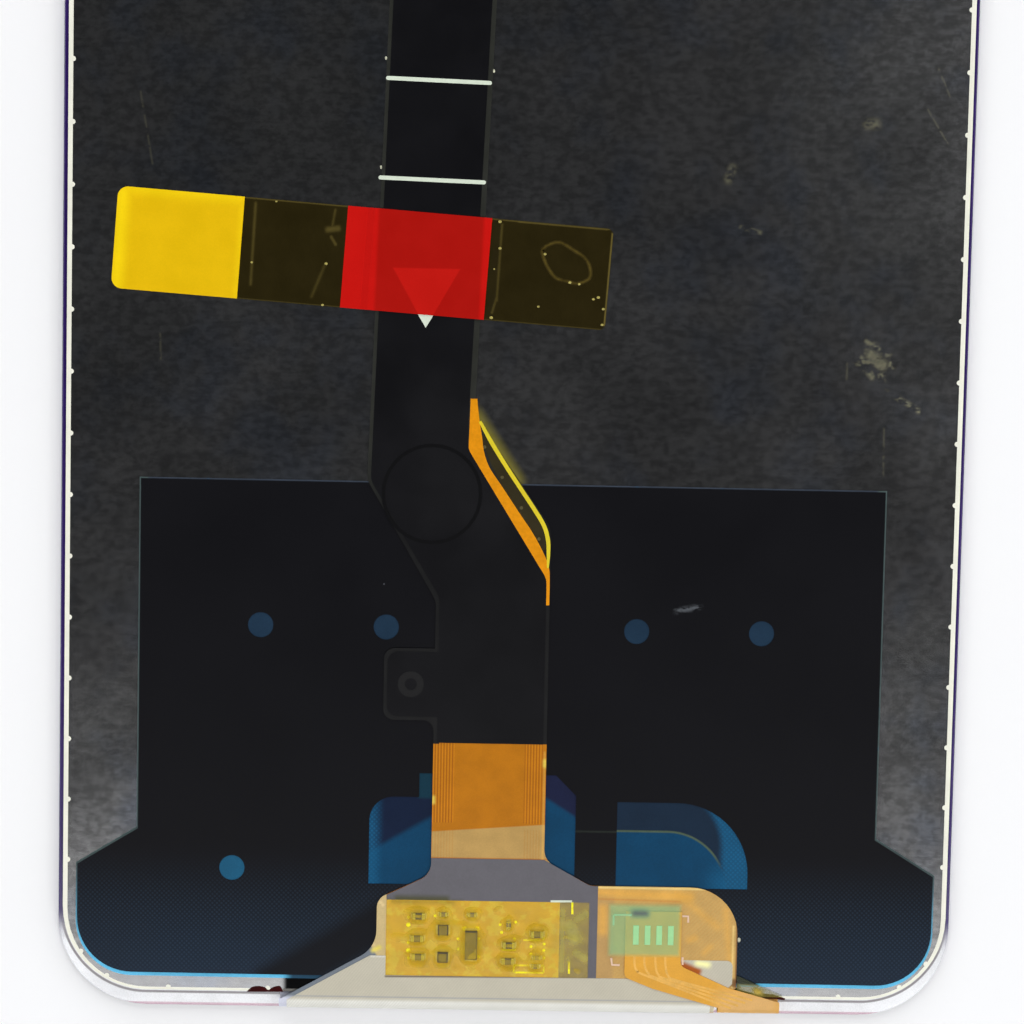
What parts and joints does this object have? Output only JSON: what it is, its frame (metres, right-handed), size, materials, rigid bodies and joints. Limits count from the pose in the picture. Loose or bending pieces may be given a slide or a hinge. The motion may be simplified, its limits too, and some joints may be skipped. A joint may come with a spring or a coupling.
{
  "type": "phone lcd screen assembly",
  "caption": "Flat phone display module: cover glass, liquid crystal panel, backlight, keyed frame, steel back plate, folded printed flex, films, tapes and a board connector.",
  "frame": {"origin": "middle of the cover glass's front face, which is the face that the module lies on", "axes": "+X across the phone, +Y along the phone towards its top edge, +Z from the front face to the back"},
  "size_m": [0.075, 0.1654, 0.0033],
  "materials": {
    "cover_glass": "clear toughened glass with a black printed border",
    "clear_adhesive": "clear adhesive sheet",
    "polariser_film": "dark smooth film",
    "display_glass": "thin display glass",
    "silicon": "ground silicon",
    "black_tape": "black double-sided tape",
    "prism_film": "clear ribbed film",
    "diffuser_film": "frosted film",
    "light_guide": "clear moulded sheet",
    "mirror_film": "mirror film",
    "cream_plastic": "cream moulded plastic",
    "plate_steel": "dark brushed steel",
    "blue_film": "blue film",
    "black_film": "black printed film",
    "amber_flex": "amber polyimide over copper",
    "shield_film": "black film",
    "grey_film": "grey shield film",
    "beige_tape": "beige tape",
    "ring_film": "flat ring under black film",
    "capacitor_ceramic": "sintered ceramic with bright ends",
    "resistor_ceramic": "glazed ceramic with bright ends",
    "moulded_package": "moulded chip package",
    "solder": "bright solder",
    "yellow_clear_tape": "clear yellow tape",
    "strip_flex": "amber polyimide over copper",
    "lamp_package": "white lamp package",
    "green_clear_tape": "clear green tape",
    "amber_clear_tape": "clear amber tape",
    "yellow_film": "yellow film",
    "red_film": "red film",
    "stiffener_steel": "thin bright steel",
    "connector_plastic": "moulded connector housing",
    "gold": "gold-plated contacts"
  },
  "bodies": {
    "root": {"cover_glass": "cover_glass", "optical_adhesive": "clear_adhesive", "front_polariser": "polariser_film", "colour_filter_glass": "display_glass", "tft_glass": "display_glass", "rear_polariser": "polariser_film", "driver_chip": "silicon", "rim_tape": "black_tape", "upper_prism_film": "prism_film", "lower_prism_film": "prism_film", "diffuser_film": "diffuser_film", "light_guide": "light_guide", "reflector_film": "mirror_film", "moulded_frame": "cream_plastic", "back_plate": "plate_steel", "blue_film": "blue_film", "black_film": "black_film", "main_flex": "amber_flex", "cable_shield_film": "shield_film", "grey_shield_film": "grey_film", "bend_tape": "beige_tape", "ear_ring": "ring_film", "chip_capacitors": "capacitor_ceramic", "chip_resistors": "resistor_ceramic", "protection_diodes": "moulded_package", "memory_chip": "moulded_package", "solder_lands": "solder", "component_tape": "yellow_clear_tape", "backlight_flex": "strip_flex", "solder_joints": "solder", "backlight_lamps": "lamp_package", "joint_tape": "green_clear_tape", "tail_tape": "amber_clear_tape", "hold_down_tape": "amber_clear_tape", "pull_tab": "yellow_film", "red_marker": "red_film", "cable_adhesive": "black_tape", "connector_stiffener": "stiffener_steel", "board_connector": "connector_plastic", "connector_contacts": "gold"}
  },
  "joints": []
}
